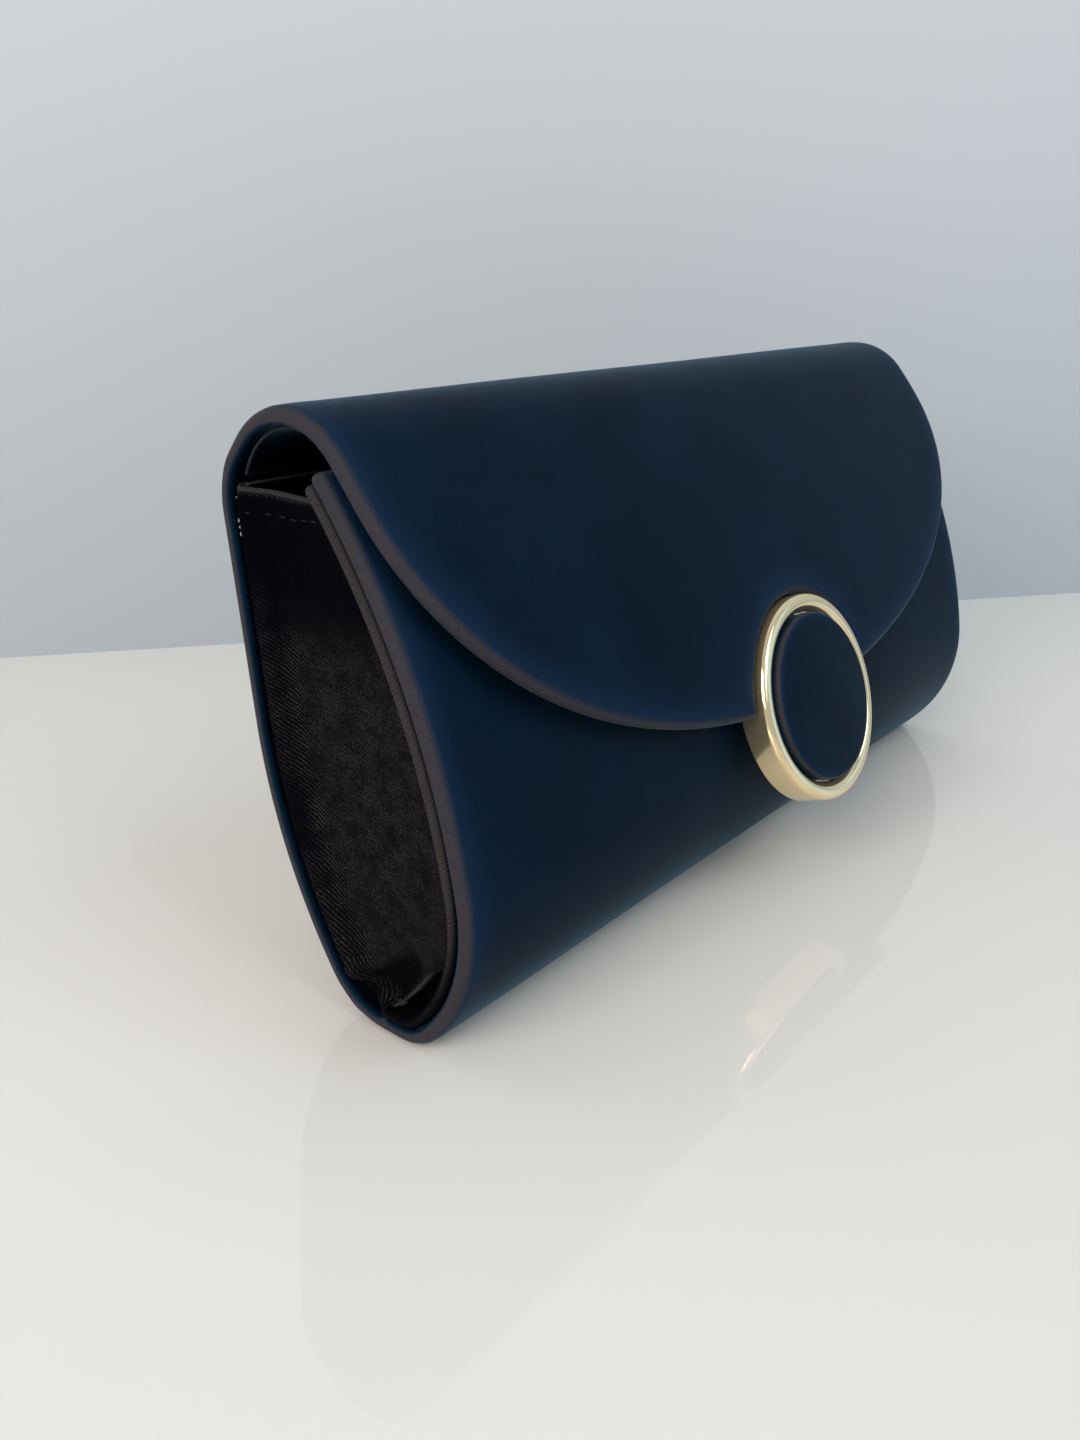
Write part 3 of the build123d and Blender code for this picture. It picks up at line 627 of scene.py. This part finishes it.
thread, tree, shader = new_finish("thread", Roughness=0.7, Specular_IOR_Level=0.05)
twist = noise(tree, on_object(tree), 2500.0, 2.0)
feed(tree, shader, mixed(tree, twist.between(0.35, 0.65), (0.004, 0.006, 0.011), (0.016, 0.019, 0.028)))
stitch_y = np.linspace(10.5, 30.0, 8)
stitch_z = np.interp(stitch_y, [9, 22, 35], [94.6, 93.6, 94.9])
stitch_x = gusset_shape(stitch_y, stitch_z)[0] - 0.12
stitch_sizes = [(0.22, 0.95, 0.20)] * len(stitch_y)
for side, which in ((-1, "left"), (1, "right")):
    gusset = make_piece("gusset_twill_" + which, [gusset_sheet(side, 0.0, True)], black_twill,
                        facing=(side, 0, 0))
    stitch_places = np.stack([-side * stitch_x, stitch_y, stitch_z], -1)
    stitches = make_piece("hem_stitches_" + which, grains(stitch_places, np.array(stitch_sizes)), thread)
    ply = make_piece("gusset_ply_" + which, [gusset_sheet(side, ply_inwards, False)], lining_satin,
                     facing=(-side, 0, 0))
    for cloth, thickness in ((gusset, twill_thick), (ply, ply_thick)):
        thick = cloth.modifiers.new("cloth", "SOLIDIFY")
        thick.thickness, thick.offset = thickness, -1.0
    for piece, slot in ((gusset, "twill"), (stitches, "twill"), (ply, "lining")):
        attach(piece, "body")
    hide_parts("gusset_" + which)
    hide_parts("gusset_lining_" + which)

# Four small drops of dried glue sit where the left gusset's twill meets the back wall's satin.
glue = new_finish("dried_glue", Base_Color=(0.26, 0.28, 0.26, 1.0), Roughness=0.5)[0]
drop_sizes = np.array([(0.4, 0.38, 0.50), (0.4, 0.30, 0.36), (0.4, 0.36, 0.48), (0.4, 0.18, 0.22)])
drop_heights, drop_x, drop_inset = np.array([90.4, 91.6, 92.8, 97.0]), -106.5, 3.9
drop_s = rise_along(3.3, drop_heights, back_foot, crease)
drop_places = at_inset(np.full(4, drop_x), drop_s, np.full(4, drop_inset))
glue_flecks = make_piece("glue_flecks_left", grains(drop_places, drop_sizes), glue)
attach(glue_flecks, "body")

# ---- clasp ring: cast, polished and plated pale gold ----
# One turned profile: outer wall, round front edge, a crest, an inner bevel and a stepped bore.
# Its corners are (radius, depth behind the ring's face), each rounded off within its own reach.
ring_corners = [(23.4, 7.0), (23.4, 0.0), (20.7, 0.0), (19.25, 1.6), (19.25, 3.7), (16.8, 3.7), (16.8, 7.0)]
ring_rounds = (0.35, 1.6, 0.7, 0.3, 0.1, 0.2, 0.2)


def turned(profile, turns, name, finish, sharp=35):
    """A profile of (radius, depth behind the ring's face) carried once round the clasp's axis. The
    pattern is a covering cloth's own flat place seen from the front."""
    radius, depth = profile[:, 0][:, None], profile[:, 1][:, None]
    angle = np.linspace(0, 2 * pi, turns + 1)[None, :]
    x, up = radius * np.cos(angle), radius * np.sin(angle)
    forward = np.array([-np.cos(clasp_tilt), np.sin(clasp_tilt)])
    flat = clasp_centre + up[..., None] * clasp_up - depth[..., None] * forward
    points = np.stack([x, flat[..., 0], flat[..., 1]], -1)
    # The rim value gives a covering satin its painted sheen and warm highlight round the edge.
    rim = np.exp(-(np.abs(profile[:, 0].max() - radius) + np.maximum(depth, 0)) / 0.9) * np.ones_like(x)
    return make_piece(name, [(points, np.stack([x, up], -1), rim)], finish, sharp=sharp)


def rounded(corners, rounds, steps):
    """A profile's corners replaced by arcs: each turns from one side to the next within its round."""
    corners, path = np.asarray(corners, float), []
    for before, corner, after, size in zip(np.roll(corners, 1, 0), corners, np.roll(corners, -1, 0), rounds):
        if size == 0:
            path.append(corner[None])
            continue
        into, out = ((side - corner) / np.linalg.norm(side - corner) for side in (before, after))
        share = np.linspace(0, 1, steps)[:, None]
        path.append(corner + size * (into * (1 - share) ** 2 + out * share**2))
    return np.concatenate(path)


def gold_finish(name, colour, roughness, scratch):
    """Plated metal: even colour, a very slightly uneven polish and hair-fine handling marks."""
    finish, tree, shader = new_finish(name, Metallic=0.88, Roughness=roughness)
    place = on_object(tree)
    cloud, hair = noise(tree, place, 110.0, 3.0), noise(tree, place, 1500.0, 2.0)
    feed(tree, shader, mixed(tree, cloud.between(0.3, 0.7) * 0.5, colour, [c * 0.90 for c in colour]),
         cloud * 0.05 + hair.between(0.6, 0.8) * 0.08 + roughness, cloud + hair * 0.1, scratch, 0.0002)
    return finish


pale_gold = gold_finish("pale_gold", (0.90, 0.72, 0.44), 0.07, 0.04)
ring_profile = rounded(ring_corners, ring_rounds, 12)
clasp_ring = turned(np.concatenate([ring_profile, ring_profile[:1]]), 220, "clasp_ring_gold", pale_gold)
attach(clasp_ring, "flap")
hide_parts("clasp_ring")

# ---- button: a moulded disc with the purse's satin drawn over it and turned in behind ----
# Its domed face stands a little in front of the ring.
button_rim, button_proud, button_rise, button_back, tuck_radius = 18.9, 1.1, 0.8, 3.6, 15.0
cover_thickness = 0.3
dome_radius = np.linspace(0, button_rim - 1.4, 18)
dome = np.stack([dome_radius, -button_proud - button_rise * (1 - (dome_radius / button_rim) ** 2)], -1)
shoulder = rounded([dome[-1], (button_rim, -button_proud), (button_rim, 3.7)], (0, 1.3, 0), 12)[1:-1]
tucked_edge, inner = (tuck_radius, button_back), button_back - cover_thickness
tuck = rounded([(button_rim, 1.0), (button_rim, button_back), tucked_edge], (0, 0.5, 0), 6)[1:-1]
inside = [tucked_edge, (tuck_radius, inner), (0.0, inner)]
button_profile = np.concatenate([dome, shoulder, tuck, inside])
button_satin = turned(button_profile, 160, "button_satin", navy_satin, sharp=60)
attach(button_satin, "flap")
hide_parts("button_cover")

# ---- snap, plate and rivets: pressed metal behind the clasp and in the front wall ----
# The model's own shapes, plated and lightly brushed.
snap_plate = gold_finish("snap_plate", (0.78, 0.66, 0.46), 0.24, 0.15)


def dress(finish, *names):
    """Gives the model's own shapes one material."""
    for name in names:
        nodes[name].data.materials.clear()
        nodes[name].data.materials.append(finish)


dress(snap_plate, "clasp_back_plate", "clasp_rivets", "snap_stud", "snap_socket", "snap_washer")

# ---- boards, magnet and disc: the hidden stiff core ----
# Dark pressed board, a sintered ring magnet and the button's moulded disc, in the model's own shapes.


def plain_finish(name, first, second, scale, roughness, strength):
    """A plain material: two close colours clouded together, with a fine tooth."""
    finish, tree, shader = new_finish(name, Roughness=roughness, Specular_IOR_Level=0.3)
    cloud = noise(tree, on_object(tree), scale, 5.0, 0.7)
    feed(tree, shader, mixed(tree, cloud.between(0.3, 0.7), first, second), height=cloud, strength=strength)
    return finish


dark_board = plain_finish("dark_board", (0.050, 0.048, 0.050), (0.085, 0.080, 0.078), 420.0, 0.9, 0.5)
ferrite = plain_finish("ferrite", (0.045, 0.045, 0.050), (0.075, 0.073, 0.074), 900.0, 0.55, 0.3)
moulded = plain_finish("moulded_disc", (0.085, 0.085, 0.092), (0.115, 0.115, 0.120), 700.0, 0.5, 0.2)
dress(dark_board, "front_board", "base_board", "back_board", "flap_board")
dress(ferrite, "snap_magnet")
dress(moulded, "button_core")

# ---- stage: a glossy pale table top and a pale wall ----
# The wall stands behind the purse on the table's far edge, and it is painted lighter with height, a painted
# gradient of light from above.
table_reach, table_depth, wall_height = 3, 4, 2.5
table_finish = new_finish("table_top", Base_Color=(0.785, 0.762, 0.718, 1.0), Roughness=0.03,
                          Specular_IOR_Level=0.5)[0]
wall_left, wall_right = np.array([-0.045, 0.2774]), np.array([0.309, -0.0052])
along_wall = (wall_right - wall_left) / np.linalg.norm(wall_right - wall_left)
near_side = np.array([along_wall[1], -along_wall[0]])
far_corners = [wall_left - along_wall * table_reach, wall_left + along_wall * table_reach]
near_corners = [corner + near_side * table_depth for corner in far_corners[::-1]]
table_mesh = bpy.data.meshes.new("table_top")
table_mesh.from_pydata([(x, y, 0.0) for x, y in far_corners + near_corners], [], [(0, 1, 2, 3)])
table_mesh.materials.append(table_finish)
table_top = bpy.data.objects.new("table_top", table_mesh)
bpy.context.scene.collection.objects.link(table_top)
wall_finish, tree, shader = new_finish("wall_paint_and_painted_light", Roughness=0.9)
height = add_node(tree, "ShaderNodeSeparateXYZ", (), {0: on_object(tree)}, output=2)
feed(tree, shader, mixed(tree, height.between(-0.02, 0.26), (0.43, 0.475, 0.52), (0.565, 0.60, 0.635)))
wall_mesh = bpy.data.meshes.new("wall")
wall_foot = [(x, y, 0.0) for x, y in far_corners]
wall_top = [(x, y, wall_height) for x, y in far_corners[::-1]]
wall_mesh.from_pydata(wall_foot + wall_top, [], [(0, 1, 2, 3)])
wall_mesh.materials.append(wall_finish)
wall = bpy.data.objects.new("wall", wall_mesh)
bpy.context.scene.collection.objects.link(wall)

# ---- light: a pale room, a big soft window on the left and a soft fill in front ----
# A faint cool lamp low on the right gives the flap's right side and the ring's face their blue.
world = bpy.data.worlds.new("room")
world.use_nodes = True
sky = world.node_tree.nodes["Background"].inputs
sky["Color"].default_value, sky["Strength"].default_value = (0.80, 0.86, 0.92, 1.0), 0.60
bpy.context.scene.world = world


def soft_lamp(name, place, size, power, colour):
    """A square area lamp at a place, turned to the purse's middle."""
    lamp = bpy.data.lights.new(name, "AREA")
    lamp.shape, lamp.size, lamp.energy, lamp.color = "SQUARE", size, power, colour
    holder = bpy.data.objects.new(name, lamp)
    towards = Vector((0, 0, 0.05)) - Vector(place)
    holder.matrix_world = Matrix.Translation(place) @ towards.to_track_quat("-Z", "Y").to_matrix().to_4x4()
    bpy.context.scene.collection.objects.link(holder)


soft_lamp("window_left", (-1.3, -0.2, 0.8), 0.9, 15.0, (1.0, 0.88, 0.76))
soft_lamp("sky_front", (0.2, -1.5, 1.4), 1.4, 13.0, (0.82, 0.92, 1.0))
soft_lamp("window_right", (1.35, -1.25, 0.42), 0.9, 1.7, (0.26, 0.68, 1.0))

bpy.context.scene.view_settings.view_transform = "Standard"
